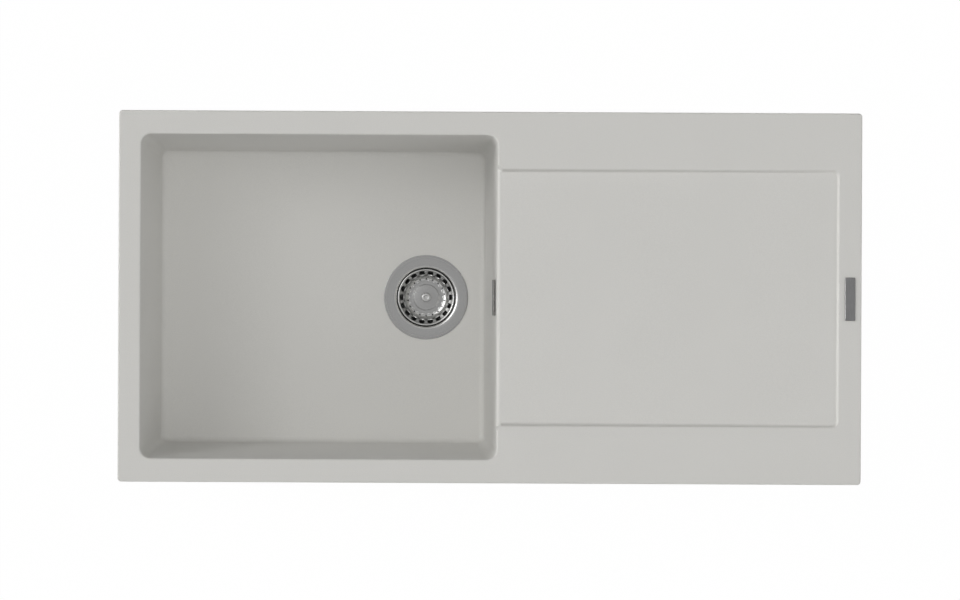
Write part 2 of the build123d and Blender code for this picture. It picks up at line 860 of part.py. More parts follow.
def overflow_hose():
    """Corrugated hose with plain cuffs. Each rib is lofted through four circles."""
    path = hose_path()
    ribbed = path.length - 2 * hose_cuff_length
    count = ceil(ribbed / hose_rib_pitch)
    pitch = ribbed / count
    sections = [hose_section(path, 0, hose_cuff_radius)]
    for rib in range(count):
        begin = hose_cuff_length + rib * pitch
        for share, radius in (
            (0.05, hose_root_radius),
            (0.35, hose_rib_radius),
            (0.65, hose_rib_radius),
            (0.95, hose_root_radius),
        ):
            sections.append(hose_section(path, begin + share * pitch, radius))
    sections.insert(1, hose_section(path, hose_cuff_length, hose_cuff_radius))
    sections.append(hose_section(path, path.length - hose_cuff_length, hose_cuff_radius))
    sections.append(hose_section(path, path.length, hose_cuff_radius))
    bore = sweep(hose_section(path, 0, hose_bore), path)
    print("hose length", round(path.length, 1), "ribs", count, "bend", hose_bend_radius)
    return loft(sections, ruled=True) - bore


def union_frames():
    """A frame at each end of the hose: its +Z points from the port along the hose."""
    start, corner, end = hose_ends()
    upper = Plane(origin=start, x_dir=(0, 1, 0), z_dir=corner - start)
    lower = Plane(origin=end, x_dir=(0, 1, 0), z_dir=corner - end)
    return {"upper": upper, "lower": lower}


def union_nut(frame):
    """Cap nut over a port and the hose's cuff, with grip ribs."""
    port = port_radius + union_wall_play
    over_port = union_length - union_roof - hose_washer_length
    outline = Circle(union_radius)
    for step in range(union_grip_count):
        grip = Pos(union_radius, 0) * Rectangle(2 * union_grip_height, union_grip_width)
        outline += Rot(0, 0, 360 / union_grip_count * step) * grip
    nut = Pos(0, 0, -over_port) * extrude(outline, union_length)
    nut -= tube(port, 0, -over_port - 1, hose_washer_length)
    nut -= tube(hose_cuff_radius + loose, 0, 0, union_length)
    return frame * nut


def hose_washer(frame):
    """Conical washer squeezed between the port's mouth and the union's roof, round the cuff."""
    low = loose
    high = hose_washer_length - loose
    ring = turned(
        [
            (hose_cuff_radius + snug, low),
            (port_radius, low),
            (port_radius, high - hose_washer_cone),
            (port_radius - hose_washer_cone, high),
            (hose_cuff_radius + snug, high),
        ]
    )
    return frame * ring


# Fixing clips


def clip_anchor(place):
    """Nylon plug in the boss's blind hole."""
    low = -clip_boss_length
    plug = tube(clip_anchor_hole_radius - snug, 0, low, clip_anchor_top - snug)
    plug += tube(clip_anchor_flange_radius, 0, low - clip_anchor_flange_thickness, low)
    plug -= tube(clip_screw_radius + running, 0, low - well_clear, clip_anchor_top - 2 * snug)
    return place * plug


def clip_screw(place):
    """Slotted screw that hangs from the plug and carries the claw on its head."""
    head_top = claw_top - claw_thickness
    screw = tube(clip_screw_radius, 0, head_top, clip_screw_tip)
    screw = chamfer(screw.edges().sort_by(Axis.Z)[-1], clip_screw_radius / 2)
    head = tube(clip_screw_head_radius, 0, head_top - clip_screw_head_height, head_top)
    head = chamfer(head.edges().sort_by(Axis.Z)[0], 1.2)
    slot = Box(2 * clip_screw_head_radius, clip_screw_slot_width, 2 * clip_screw_slot_depth)
    head -= Pos(0, 0, head_top - clip_screw_head_height) * slot
    return place * (screw + head)


def clip_claw(place):
    """Stamped claw, folded in along the rim: its toothed toe swings out under the worktop."""
    side = [
        (-claw_heel, claw_top - claw_thickness),
        (claw_reach, claw_top - claw_thickness),
        (claw_reach, claw_top + claw_tooth_height),
        (claw_reach - claw_thickness, claw_top + claw_tooth_height),
        (claw_reach - claw_thickness, claw_top),
        (-claw_heel, claw_top),
    ]
    claw = extrude(Plane.XZ * make_face(Polyline(*side, close=True)), claw_width / 2, both=True)
    heel = Box(
        claw_thickness, claw_leg_width, claw_leg_height + claw_thickness,
        align=(Align.MIN, Align.CENTER, Align.MIN),
    )
    claw += Pos(-claw_heel, 0, claw_top - claw_thickness) * heel
    tooth_pitch = claw_width / claw_tooth_count
    notch = Rot(45, 0, 0) * Box(3 * claw_thickness, tooth_pitch / 2, tooth_pitch / 2)
    for step in range(1, claw_tooth_count):
        y = -claw_width / 2 + step * tooth_pitch
        claw -= Pos(claw_reach - claw_thickness, y, claw_top + claw_tooth_height) * notch
    claw -= tube(clip_screw_radius + claw_hole_play, 0, claw_top - well_clear, claw_top + 1)
    swung_in = Rot(0, 0, -90)
    return place * swung_in * claw


def save(name, shape):
    export_step(shape, f"parts/{name}.step")


os.makedirs("parts", exist_ok=True)
save("sink_basin", sink_basin())
save("rim_plate", rim_plate())
save("rim_plate_pad", rim_plate_pad())
save("waste_flange", waste_flange())
save("upper_gasket", upper_gasket())
save("lower_gasket", lower_gasket())
save("waste_body", waste_body())
save("clamp_nut", clamp_nut())
save("clamp_screw", clamp_screw())
save("basket", basket())
save("basket_seal", basket_seal())
save("backing_washer", backing_washer())
save("strainer_stem", strainer_stem())
save("basket_knob", basket_knob())
save("overflow_cover", overflow_cover())
save("overflow_screw", overflow_screw())
save("overflow_gasket", overflow_gasket())
save("overflow_elbow", overflow_elbow())
save("overflow_hose", overflow_hose())
for end_name, end_frame in union_frames().items():
    save(f"hose_union_{end_name}", union_nut(end_frame))
    save(f"hose_washer_{end_name}", hose_washer(end_frame))
save("clip_anchors", Compound(children=[clip_anchor(place) for place in clip_places()]))
for number, clip_place in enumerate(clip_places(), start=1):
    save(f"clip_screw_{number}", clip_screw(clip_place))
    save(f"clip_claw_{number}", clip_claw(clip_place))
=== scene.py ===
# Kitchen sink with drainboard, seen from straight above
import math

import bpy
import bmesh
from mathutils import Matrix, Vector


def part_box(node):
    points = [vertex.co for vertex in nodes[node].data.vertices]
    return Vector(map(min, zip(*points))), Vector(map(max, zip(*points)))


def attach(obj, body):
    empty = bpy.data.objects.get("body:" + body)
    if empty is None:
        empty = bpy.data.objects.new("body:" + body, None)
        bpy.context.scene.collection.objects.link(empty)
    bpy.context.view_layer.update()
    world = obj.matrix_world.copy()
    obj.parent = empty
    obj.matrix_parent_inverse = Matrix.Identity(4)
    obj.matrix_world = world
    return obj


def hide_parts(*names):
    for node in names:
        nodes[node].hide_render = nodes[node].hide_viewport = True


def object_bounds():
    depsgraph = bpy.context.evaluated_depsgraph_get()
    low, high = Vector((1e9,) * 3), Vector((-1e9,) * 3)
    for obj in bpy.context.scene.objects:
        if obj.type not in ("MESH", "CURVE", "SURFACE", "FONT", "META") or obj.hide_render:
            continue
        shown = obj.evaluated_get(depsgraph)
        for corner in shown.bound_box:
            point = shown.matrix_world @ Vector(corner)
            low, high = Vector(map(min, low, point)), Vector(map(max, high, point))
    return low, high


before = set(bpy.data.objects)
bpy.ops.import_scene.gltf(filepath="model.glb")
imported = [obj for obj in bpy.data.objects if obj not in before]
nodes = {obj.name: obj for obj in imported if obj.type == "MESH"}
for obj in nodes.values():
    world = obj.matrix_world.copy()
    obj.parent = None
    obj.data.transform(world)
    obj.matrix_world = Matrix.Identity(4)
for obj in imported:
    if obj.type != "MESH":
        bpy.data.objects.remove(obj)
cadLow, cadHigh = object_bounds()
mm = 0.001
print("frame loaded:", len(nodes), "nodes")


def deselectAll():
    for item in bpy.context.selected_objects:
        item.select_set(False)


# Camera: long lens from straight above, turned a little as in the photograph
cameraSet = {
    "lens": 193.5,
    "sensor": 36.0,
    "aim": (-0.0133, -0.0034),  # the point straight below it
    "height": 6.949,  # above the worktop's plane
    "roll": 0.0048,  # radians
    "clip": (0.1, 60.0),
}

deselectAll()
bpy.ops.object.camera_add(location=(*cameraSet["aim"], cameraSet["height"]))
camera = bpy.context.object
camera.name = "camera"
camera.rotation_euler = (0.0, 0.0, cameraSet["roll"])
camera.data.lens = cameraSet["lens"]
camera.data.sensor_width = cameraSet["sensor"]
camera.data.clip_start, camera.data.clip_end = cameraSet["clip"]
bpy.context.scene.camera = camera


# Materials


def newMaterial(name):
    made = bpy.data.materials.new(name)
    made.use_nodes = True
    tree = made.node_tree
    return made, tree, tree.nodes["Principled BSDF"]


def fill(node, **sockets):
    for key, value in sockets.items():
        node.inputs[key.replace("_", " ")].default_value = value


def addNode(tree, kind, **sockets):
    made = tree.nodes.new(kind)
    fill(made, **sockets)
    return made


def feed(tree, socket, value):
    # a socket takes a number or another node's output
    if isinstance(value, float):
        socket.default_value = value
    else:
        tree.links.new(value, socket)


def reckon(tree, operation, first, second, clamp=False):
    # a Math node's result
    made = tree.nodes.new("ShaderNodeMath")
    made.operation = operation
    made.use_clamp = clamp
    feed(tree, made.inputs[0], first)
    feed(tree, made.inputs[1], second)
    return made.outputs["Value"]


def objectPlace(tree, middle=(0.0, 0.0, 0.0), stretch=(1.0, 1.0, 1.0)):
    # Object coordinates, moved so that the pattern is centred on the piece
    place = tree.nodes.new("ShaderNodeTexCoord")
    mapping = tree.nodes.new("ShaderNodeMapping")
    mapping.inputs["Location"].default_value = [-m * s for m, s in zip(middle, stretch)]
    mapping.inputs["Scale"].default_value = stretch
    tree.links.new(place.outputs["Object"], mapping.inputs["Vector"])
    return mapping.outputs["Vector"]


def noise(tree, vector, scale, detail, rough):
    made = addNode(tree, "ShaderNodeTexNoise", Scale=scale, Detail=detail, Roughness=rough)
    tree.links.new(vector, made.inputs["Vector"])
    return made.outputs["Fac"]


toneStops = (0.3, 0.7)  # most of a noise's values lie between these


def tone(tree, value, dark, pale):
    made = tree.nodes.new("ShaderNodeValToRGB")
    for element, place, shade in zip(made.color_ramp.elements, toneStops, (dark, pale)):
        element.position = place
        element.color = (*shade, 1.0)
    tree.links.new(value, made.inputs["Fac"])
    return made.outputs["Color"]


def spread(tree, value, low, high, fromLow=0.0, fromHigh=1.0):
    made = addNode(
        tree, "ShaderNodeMapRange", From_Min=fromLow, From_Max=fromHigh, To_Min=low, To_Max=high
    )
    tree.links.new(value, made.inputs["Value"])
    return made.outputs["Result"]


def multiply(tree, first, second):
    made = tree.nodes.new("ShaderNodeMix")
    made.data_type = "RGBA"
    made.blend_type = "MULTIPLY"
    made.inputs["Factor"].default_value = 1.0
    tree.links.new(first, made.inputs["A"])
    tree.links.new(second, made.inputs["B"])
    return made.outputs["Result"]


def bump(tree, shader, height, strength, distance):
    made = addNode(tree, "ShaderNodeBump", Strength=strength, Distance=distance)
    tree.links.new(height, made.inputs["Height"])
    tree.links.new(made.outputs["Normal"], shader.inputs["Normal"])


def colour(red, green, blue):  # 0 to 255, as a colour picker shows them
    return tuple(((c / 255 + 0.055) / 1.055) ** 2.4 for c in (red, green, blue))


# A noise is its scale, detail and roughness, and a relief is its bump's strength and height

compositeLook = {
    "pale": colour(212, 211, 207),
    "dark": colour(204, 203, 199),
    "grain": (900.0, 4.0, 0.7),
    "cloud": (9.0, 2.0, 0.5),
    "cloudDepth": 0.985,
    "roughness": (0.38, 0.48),
    "relief": (0.25, 0.00005),
    "gloss": {"IOR": 1.5, "Specular IOR Level": 0.35, "Sheen Weight": 0.18, "Sheen Roughness": 0.4},
}


def compositeMaterial():
    look = compositeLook
    made, tree, shader = newMaterial("composite")
    place = objectPlace(tree)
    grain = noise(tree, place, *look["grain"])
    cloud = noise(tree, place, *look["cloud"])
    grainTone = tone(tree, grain, look["dark"], look["pale"])
    cloudTone = tone(tree, cloud, (look["cloudDepth"],) * 3, (1.0, 1.0, 1.0))
    tree.links.new(multiply(tree, grainTone, cloudTone), shader.inputs["Base Color"])
    tree.links.new(spread(tree, grain, *look["roughness"]), shader.inputs["Roughness"])
    bump(tree, shader, grain, *look["relief"])
    fill(shader, **look["gloss"])
    return made


steelLook = {
    "pale": colour(190, 190, 189),
    "dark": colour(176, 176, 175),
    "roughness": (0.2, 0.3),
    "rings": (2600.0, 2.0, 0.6),
    "relief": (0.2, 0.00002),
    # painted light: brightness near the axis and further out, and the radii between which it changes; it
    # stands in for light and shade, not a change in the steel
    "even": (1.0, 1.0, 0.0, 1.0),
    "dish": (1.7, 1.0, 0.0418, 0.0438),  # painted light: brighter within its throat, where little light reaches
    "basket": (1.0, 1.45, 0.0236, 0.0262),  # painted light: brighter round its disc, on its walls and ribs
}


def turnedSteelMaterial(name, paintedLight):
    # fine turning marks: rings round the drain's axis; the colour is also brightened by radius as painted
    # light
    look = steelLook
    made, tree, shader = newMaterial(name)
    low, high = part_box("waste_flange")
    place = objectPlace(tree, tuple((low + high) / 2))
    flat = addNode(tree, "ShaderNodeVectorMath")
    flat.operation = "MULTIPLY"
    flat.inputs[1].default_value = (1.0, 1.0, 0.0)
    tree.links.new(place, flat.inputs[0])
    length = addNode(tree, "ShaderNodeVectorMath")
    length.operation = "LENGTH"
    tree.links.new(flat.outputs["Vector"], length.inputs[0])
    radius = tree.nodes.new("ShaderNodeCombineXYZ")
    tree.links.new(length.outputs["Value"], radius.inputs["X"])
    rings = noise(tree, radius.outputs["Vector"], *look["rings"])
    ringTone = tone(tree, rings, look["dark"], look["pale"])
    # painted light: the colour is multiplied by a brightness that changes with the radius
    paintedBrightness = spread(tree, length.outputs["Value"], *paintedLight)
    tree.links.new(multiply(tree, ringTone, paintedBrightness), shader.inputs["Base Color"])
    tree.links.new(spread(tree, rings, *look["roughness"]), shader.inputs["Roughness"])
    bump(tree, shader, rings, *look["relief"])
    fill(shader, Metallic=1.0)
    return made


grainDetail = (4.0, 0.6)  # detail and roughness of every grain below
grainRelief = 0.3  # strength of its bump


def grainedMaterial(name, look):
    made, tree, shader = newMaterial(name)
    place = objectPlace(tree, stretch=look.get("stretch", (1.0, 1.0, 1.0)))
    grain = noise(tree, place, look["scale"], *grainDetail)
    tree.links.new(tone(tree, grain, look["dark"], look["pale"]), shader.inputs["Base Color"])
    tree.links.new(spread(tree, grain, *look["roughness"]), shader.inputs["Roughness"])
    bump(tree, shader, grain, grainRelief, look["height"])
    fill(shader, Metallic=look.get("metal", 0.0))
    return made


grainLooks = {
    "brushedSteel": {
        "pale": colour(190, 190, 189), "dark": colour(172, 172, 171), "scale": 900.0,
        "roughness": (0.28, 0.4), "metal": 1.0, "height": 0.00002, "stretch": (1.0, 0.05, 1.0),
    },
    # paler than the basket's steel: partly a smoother polish, partly a painted highlight that makes the
    # pressed pads show as bright dashes
    "polishedSteelAndPaintedGlint": {
        "pale": colour(222, 222, 221), "dark": colour(208, 208, 207), "scale": 1800.0,
        "roughness": (0.16, 0.24), "metal": 1.0, "height": 0.00001,
    },
    "satinSteel": {
        "pale": colour(212, 212, 211), "dark": colour(200, 200, 199), "scale": 1800.0,
        "roughness": (0.34, 0.42), "metal": 1.0, "height": 0.00001,
    },
    # darker than the other steels: partly the cover's own tone, partly painted shade for the shaded gap
    # along its top edge
    "coverSteelAndPaintedShade": {
        "pale": colour(134, 133, 130), "dark": colour(122, 121, 118), "scale": 1100.0,
        "roughness": (0.46, 0.56), "metal": 1.0, "height": 0.00002, "stretch": (1.0, 0.06, 1.0),
    },
    "platedMetal": {
        "pale": colour(139, 139, 139), "dark": colour(125, 125, 125), "scale": 1400.0,
        "roughness": (0.42, 0.52), "metal": 1.0, "height": 0.00002, "stretch": (1.0, 0.06, 1.0),
    },
    "adhesivePad": {
        "pale": colour(60, 60, 60), "dark": colour(45, 45, 45), "scale": 1500.0,
        "roughness": (0.7, 0.9), "height": 0.00003,
    },
    "sealRubber": {
        "pale": colour(46, 46, 47), "dark": colour(33, 33, 34), "scale": 700.0,
        "roughness": (0.6, 0.8), "height": 0.00003,
    },
    "wastePlastic": {
        "pale": colour(228, 228, 224), "dark": colour(219, 219, 215), "scale": 500.0,
        "roughness": (0.4, 0.5), "height": 0.00003,
    },
    "hosePlastic": {
        "pale": colour(208, 208, 204), "dark": colour(196, 196, 193), "scale": 420.0,
        "roughness": (0.35, 0.45), "height": 0.00003,
    },
    "nutBrass": {
        "pale": colour(202, 172, 102), "dark": colour(180, 150, 84), "scale": 900.0,
        "roughness": (0.3, 0.4), "metal": 1.0, "height": 0.00002,
    },
    "plugNylon": {
        "pale": colour(222, 221, 212), "dark": colour(211, 210, 201), "scale": 600.0,
        "roughness": (0.45, 0.55), "height": 0.00003,
    },
    "zincPlate": {
        "pale": colour(198, 200, 203), "dark": colour(172, 175, 180), "scale": 260.0,
        "roughness": (0.3, 0.45), "metal": 1.0, "height": 0.00002,
    },
}

finishes = {name: grainedMaterial(name, look) for name, look in grainLooks.items()}
finishes["composite"] = compositeMaterial()
# the dish's and the basket's steels are lit copies of one steel: painted light
for name, paintedLight in (("turnedSteel", "even"), ("dishSteelPaintedLight", "dish"), ("basketSteelPaintedLight", "basket")):
    finishes[name] = turnedSteelMaterial(name, steelLook[paintedLight])

wears = {
    "sink_basin": "composite",
    "rim_plate": "platedMetal",
    "rim_plate_pad": "adhesivePad",
    "waste_flange": "dishSteelPaintedLight",
    "basket": "basketSteelPaintedLight",
    "basket_knob": "satinSteel",
    "strainer_stem": "turnedSteel",
    "clamp_screw": "turnedSteel",
    "backing_washer": "turnedSteel",
    "overflow_cover": "coverSteelAndPaintedShade",
    "overflow_screw": "brushedSteel",
    "clamp_nut": "nutBrass",
    "waste_body": "wastePlastic",
    "overflow_elbow": "wastePlastic",
    "overflow_hose": "hosePlastic",
    "clip_anchors": "plugNylon",
    "upper_gasket": "sealRubber",
    "lower_gasket": "sealRubber",
    "basket_seal": "sealRubber",
    "overflow_gasket": "sealRubber",
}
for family, finish in (
    ("hose_washer", "sealRubber"),
    ("hose_union", "wastePlastic"),
    ("clip_screw", "zincPlate"),
    ("clip_claw", "zincPlate"),
):
    wears.update({name: finish for name in nodes if name.startswith(family)})


def wear(piece, finish):
    piece.data.materials.clear()
    piece.data.materials.append(finishes[finish])


for name, node in nodes.items():
    wear(node, wears[name])
print("materials on", len(wears), "nodes")


# Modelling by hand: rings of edges, pulled from one to the next
handValues = {
    "levelSlack": 0.02 * mm,  # how far off a ring its corners may lie and still be picked
    "radiusSlack": 0.05 * mm,
    "halfSlack": 0.01 * mm,  # how far over the middle an upper half starts
    "merge": 0.001 * mm,
    "smoothAngle": 35.0,  # degrees; sharper edges stay sharp
}


def edit(on):
    bpy.ops.object.mode_set(mode="EDIT" if on else "OBJECT")


def pickOnly(item):
    deselectAll()
    item.select_set(True)
    bpy.context.view_layer.objects.active = item


def applyPlace():
    bpy.ops.object.transform_apply(location=True, rotation=True, scale=True)


def pullRings(name, rings, around, axis):
    # rings are (radius, level); the first is added, and each next one is extruded and scaled
    deselectAll()
    radius, level = rings[0]
    bpy.ops.mesh.primitive_circle_add(vertices=around, radius=radius, location=(axis.x, axis.y, level))
    piece = bpy.context.object
    piece.name = name
    applyPlace()
    edit(True)
    bpy.ops.mesh.select_mode(type="VERT")
    bpy.ops.mesh.select_all(action="SELECT")
    for (oldRadius, oldLevel), (newRadius, newLevel) in zip(rings, rings[1:]):
        rise = (0.0, 0.0, newLevel - oldLevel)
        bpy.ops.mesh.extrude_region_move(TRANSFORM_OT_translate={"value": rise})
        grow = newRadius / oldRadius
        middle = (axis.x, axis.y, newLevel)
        bpy.ops.transform.resize(value=(grow, grow, 1.0), center_override=middle)
    return piece


def onRing(co, ring, axis):
    radius, level = ring
    away = math.hypot(co.x - axis.x, co.y - axis.y)
    return (
        abs(co.z - level) < handValues["levelSlack"]
        and abs(away - radius) < handValues["radiusSlack"]
    )


def bendRing(piece, ring, axis, size, steps):
    # in edit mode: rounds the corner at one ring
    bpy.ops.mesh.select_mode(type="EDGE")
    bpy.ops.mesh.select_all(action="DESELECT")
    mesh = bmesh.from_edit_mesh(piece.data)
    for edge in mesh.edges:
        if all(onRing(corner.co, ring, axis) for corner in edge.verts):
            edge.select_set(True)
    bmesh.update_edit_mesh(piece.data)
    bpy.ops.mesh.bevel(offset=size, segments=steps, affect="EDGES")


def facesOutwards(merge=handValues["merge"]):
    bpy.ops.mesh.select_all(action="SELECT")
    bpy.ops.mesh.remove_doubles(threshold=merge)
    bpy.ops.mesh.normals_make_consistent(inside=False)


def applyModifier(piece, modifier):
    bpy.context.view_layer.objects.active = piece
    bpy.ops.object.modifier_apply(modifier=modifier.name)


def thicken(piece, thickness):
    # the drawn side is the sheet's upper one
    up = sum(face.normal.z * face.area for face in piece.data.polygons)
    if up < 0:
        edit(True)
        bpy.ops.mesh.select_all(action="SELECT")
        bpy.ops.mesh.flip_normals()
        edit(False)
    sheet = piece.modifiers.new("sheet", "SOLIDIFY")
    sheet.thickness = thickness
    sheet.offset = -1.0
    sheet.use_even_offset = True
    applyModifier(piece, sheet)


def addCutter(sides, radius, depth, place, turned=(0.0, 0.0, 0.0)):
    deselectAll()
    bpy.ops.mesh.primitive_cylinder_add(
        vertices=sides, radius=radius, depth=depth, location=place, rotation=turned
    )
    cutter = bpy.context.object
    applyPlace()
    return cutter


def cutWith(piece, cutter):
    hole = piece.modifiers.new("holes", "BOOLEAN")
    hole.operation = "DIFFERENCE"
    hole.solver = "EXACT"
    hole.object = cutter
    applyModifier(piece, hole)
    bpy.data.objects.remove(cutter)


def repeatRound(item, count, axis):
    # copies set round an upright axis, then joined with the first
    copies = []
    for step in range(1, count):
        pickOnly(item)
        bpy.ops.object.duplicate(linked=False)
        copies.append(bpy.context.object)
        turn = math.tau * step / count
        edit(True)
        bpy.ops.mesh.select_all(action="SELECT")
        bpy.ops.transform.rotate(value=turn, orient_axis="Z", center_override=(axis.x, axis.y, 0.0))
        edit(False)
    pickOnly(item)
    for twin in copies:
        twin.select_set(True)
    bpy.ops.object.join()
    return item


def finishPiece(piece, finish, slot, body, *replaced):
    pickOnly(piece)
    applyPlace()
    bpy.ops.object.shade_smooth_by_angle(angle=math.radians(handValues["smoothAngle"]))
    wear(piece, finish)
    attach(piece, body)
    if replaced:
        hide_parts(*replaced)


# Waste: the pressed dish, the strainer's basket and its knob. A bend is its size and its steps
dishLow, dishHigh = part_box("waste_flange")
drain = Vector(((dishLow.x + dishHigh.x) / 2, (dishLow.y + dishHigh.y) / 2, 0.0))
dishValues = {
    "crown": 1.2 * mm,  # over the bowl's floor
    "edgeBand": (3.1 * mm, 0.3 * mm),  # width of the flange's lower outer band, and its drop
    "throat": 40.8 * mm,
    "leadIn": (4.6 * mm, 1.9 * mm),  # the throat widens upwards by this, over this height
    "lip": (1.6 * mm, 0.5 * mm),  # where the lead-in bends: past the throat, and below the top
    "throatDepth": 24.0 * mm,  # below the bowl's floor, as the depths after it
    "coneEnd": (29.0 * mm, 32.0 * mm),  # radius and depth
    "sump": 27.5 * mm,
    "seatDepth": 1.5 * mm,  # how far the flange's side goes down into its recess
    "screwHole": 3.1 * mm,
    "sheet": 1.0 * mm,
    "edgeBend": (0.3 * mm, 3),
    "throatBend": (1.4 * mm, 5),
    "lipBend": (0.8 * mm, 3),
    "lowBend": (2.5 * mm, 3),
    "holes": 6,
    "holeRadius": 5.0 * mm,
    "holeCircle": 17.5 * mm,
    "holeCut": 10 * mm,
    "holeSides": 32,
    "around": 144,
}
seat = dishHigh.z - dishValues["crown"]  # the bowl's floor


def wasteDish():
    values = dishValues
    edge = (dishHigh.x - dishLow.x) / 2
    sumpDepth = seat - dishLow.z - values["sheet"]
    foot = seat - values["seatDepth"]
    band, drop = values["edgeBand"]
    rings = [
        (edge, foot),
        (edge, dishHigh.z - drop),
        (edge - band + drop, dishHigh.z - drop),
        (edge - band, dishHigh.z),
        (values["throat"] + values["leadIn"][0], dishHigh.z),
        (values["throat"] + values["lip"][0], dishHigh.z - values["lip"][1]),
        (values["throat"], dishHigh.z - values["leadIn"][1]),
        (values["throat"], seat - values["throatDepth"]),
        (values["coneEnd"][0], seat - values["coneEnd"][1]),
        (values["sump"], seat - sumpDepth),
        (values["screwHole"], seat - sumpDepth),
    ]
    piece = pullRings("wasteDish", rings, values["around"], drain)
    bendRing(piece, rings[1], drain, *values["edgeBend"])
    bendRing(piece, rings[4], drain, *values["throatBend"])
    for ring in rings[5:7]:
        bendRing(piece, ring, drain, *values["lipBend"])
    for ring in rings[7:10]:
        bendRing(piece, ring, drain, *values["lowBend"])
    facesOutwards()
    edit(False)
    thicken(piece, values["sheet"])
    place = (drain.x + values["holeCircle"], drain.y, seat - sumpDepth)
    cutter = addCutter(values["holeSides"], values["holeRadius"], values["holeCut"], place)
    cutWith(piece, repeatRound(cutter, values["holes"], drain))
    finishPiece(piece, "dishSteelPaintedLight", "steel", "sink", "waste_flange")


basketValues = {
    "rimDrop": 1.6 * mm,  # how far the rim's outer edge turns down
    "rimWidth": 1.7 * mm,
    "base": (29.0 * mm, 27.0 * mm),  # radius and depth
    "step": (18.2 * mm, 1.0 * mm),  # the raised disc's radius and height
    "stemHole": 3.08 * mm,
    "sheet": 0.8 * mm,
    "rimBend": (0.7 * mm, 3),
    "innerBend": (0.9 * mm, 4),
    "shoulderBend": (6.0 * mm, 8),
    "stepBend": (0.4 * mm, 2),
    "slots": 18,
    "slotWidth": 7.8 * mm,
    "slotSpan": (3.5 * mm, 21.5 * mm),  # depths of its two ends
    "slotReach": 14.0 * mm,
    "slotInset": 1.5 * mm,  # how far inside the base's radius the cut begins
    "slotSides": 24,
    "weepRadius": 1.15 * mm,
    "weepCircle": 25.5 * mm,
    "weepCut": 12 * mm,
    "weepSides": 12,
    "padCircle": 23.3 * mm,  # small pressed pads between the weep holes
    "padSize": (1.1 * mm, 2.5 * mm, 0.7 * mm),
    "padSunk": 0.1 * mm,
    "padSides": (16, 8),
    "around": 144,
}


def slotCutter():
    values = basketValues
    top, bottom = values["slotSpan"]
    across = values["slotWidth"] / 2
    reach = values["slotReach"]
    middle = seat - bottom + across
    place = (drain.x + values["base"][0] + reach / 2 - values["slotInset"], drain.y, middle)
    cutter = addCutter(values["slotSides"], across, reach, place, (0.0, math.pi / 2, 0.0))
    edit(True)
    bpy.ops.mesh.select_mode(type="VERT")
    bpy.ops.mesh.select_all(action="DESELECT")
    mesh = bmesh.from_edit_mesh(cutter.data)
    for corner in mesh.verts:
        corner.select_set(corner.co.z > middle + handValues["halfSlack"])
    bmesh.update_edit_mesh(cutter.data)
    bpy.ops.transform.translate(value=(0.0, 0.0, bottom - top - values["slotWidth"]))
    edit(False)
    return cutter


def strainerBasket():
    values = basketValues
    low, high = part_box("basket")
    edge = (high.x - low.x) / 2
    rim = edge - values["rimWidth"]
    baseLevel = seat - values["base"][1]
    rings = [
        (edge, high.z - values["rimDrop"]),
        (edge, high.z),
        (rim, high.z),
        (values["base"][0], baseLevel),
        (values["step"][0], baseLevel),
        (values["step"][0] - values["sheet"], baseLevel + values["step"][1]),
        (values["stemHole"], baseLevel + values["step"][1]),
    ]
    piece = pullRings("strainerBasket", rings, values["around"], drain)
    bendRing(piece, rings[1], drain, *values["rimBend"])
    bendRing(piece, rings[2], drain, *values["innerBend"])
    bendRing(piece, rings[3], drain, *values["shoulderBend"])
    for ring in rings[4:6]:
        bendRing(piece, ring, drain, *values["stepBend"])
    facesOutwards()
    edit(False)
    thicken(piece, values["sheet"])
    cutWith(piece, repeatRound(slotCutter(), values["slots"], drain))
    turn = math.pi / values["slots"]  # the weep holes stand between the slots
    weep = Vector((math.cos(turn), math.sin(turn), 0.0)) * values["weepCircle"] + drain
    place = (weep.x, weep.y, baseLevel)
    cutter = addCutter(values["weepSides"], values["weepRadius"], values["weepCut"], place)
    cutWith(piece, repeatRound(cutter, values["slots"], drain))
    basketPads(baseLevel)
    finishPiece(piece, "basketSteelPaintedLight", "steel", "basket", "basket")


def basketPads(baseLevel):
    values = basketValues
    segments, belts = values["padSides"]
    place = (drain.x + values["padCircle"], drain.y, baseLevel - values["padSunk"])
    deselectAll()
    bpy.ops.mesh.primitive_uv_sphere_add(
        segments=segments, ring_count=belts, radius=1.0, location=place
    )
    pad = bpy.context.object
    pad.name = "basketPads"
    pad.scale = values["padSize"]
    applyPlace()
    # the pads wear a paler steel, partly a painted highlight
    finishPiece(repeatRound(pad, values["slots"], drain), "polishedSteelAndPaintedGlint", "steel", "basket")


knobValues = {
    "foot": (5.4 * mm, 1.5 * mm),  # radius and height
    "waist": 4.2 * mm,
    "flare": 1.0 * mm,  # height over which the foot narrows and the crown widens
    "crownHeight": 4.5 * mm,
    "dimple": (2.5 * mm, 0.8 * mm),
    "dimpleWidening": 0.5 * mm,
    "pole": 0.05 * mm,  # the first and last rings are this small
    "poleMerge": 0.06 * mm,
    "crownRound": (1.9 * mm, 8),
    "skirtBend": (0.2 * mm, 3),
    "dimpleBend": (0.4 * mm, 3),
    "lowBend": (0.3 * mm, 2),
    "around": 64,
}


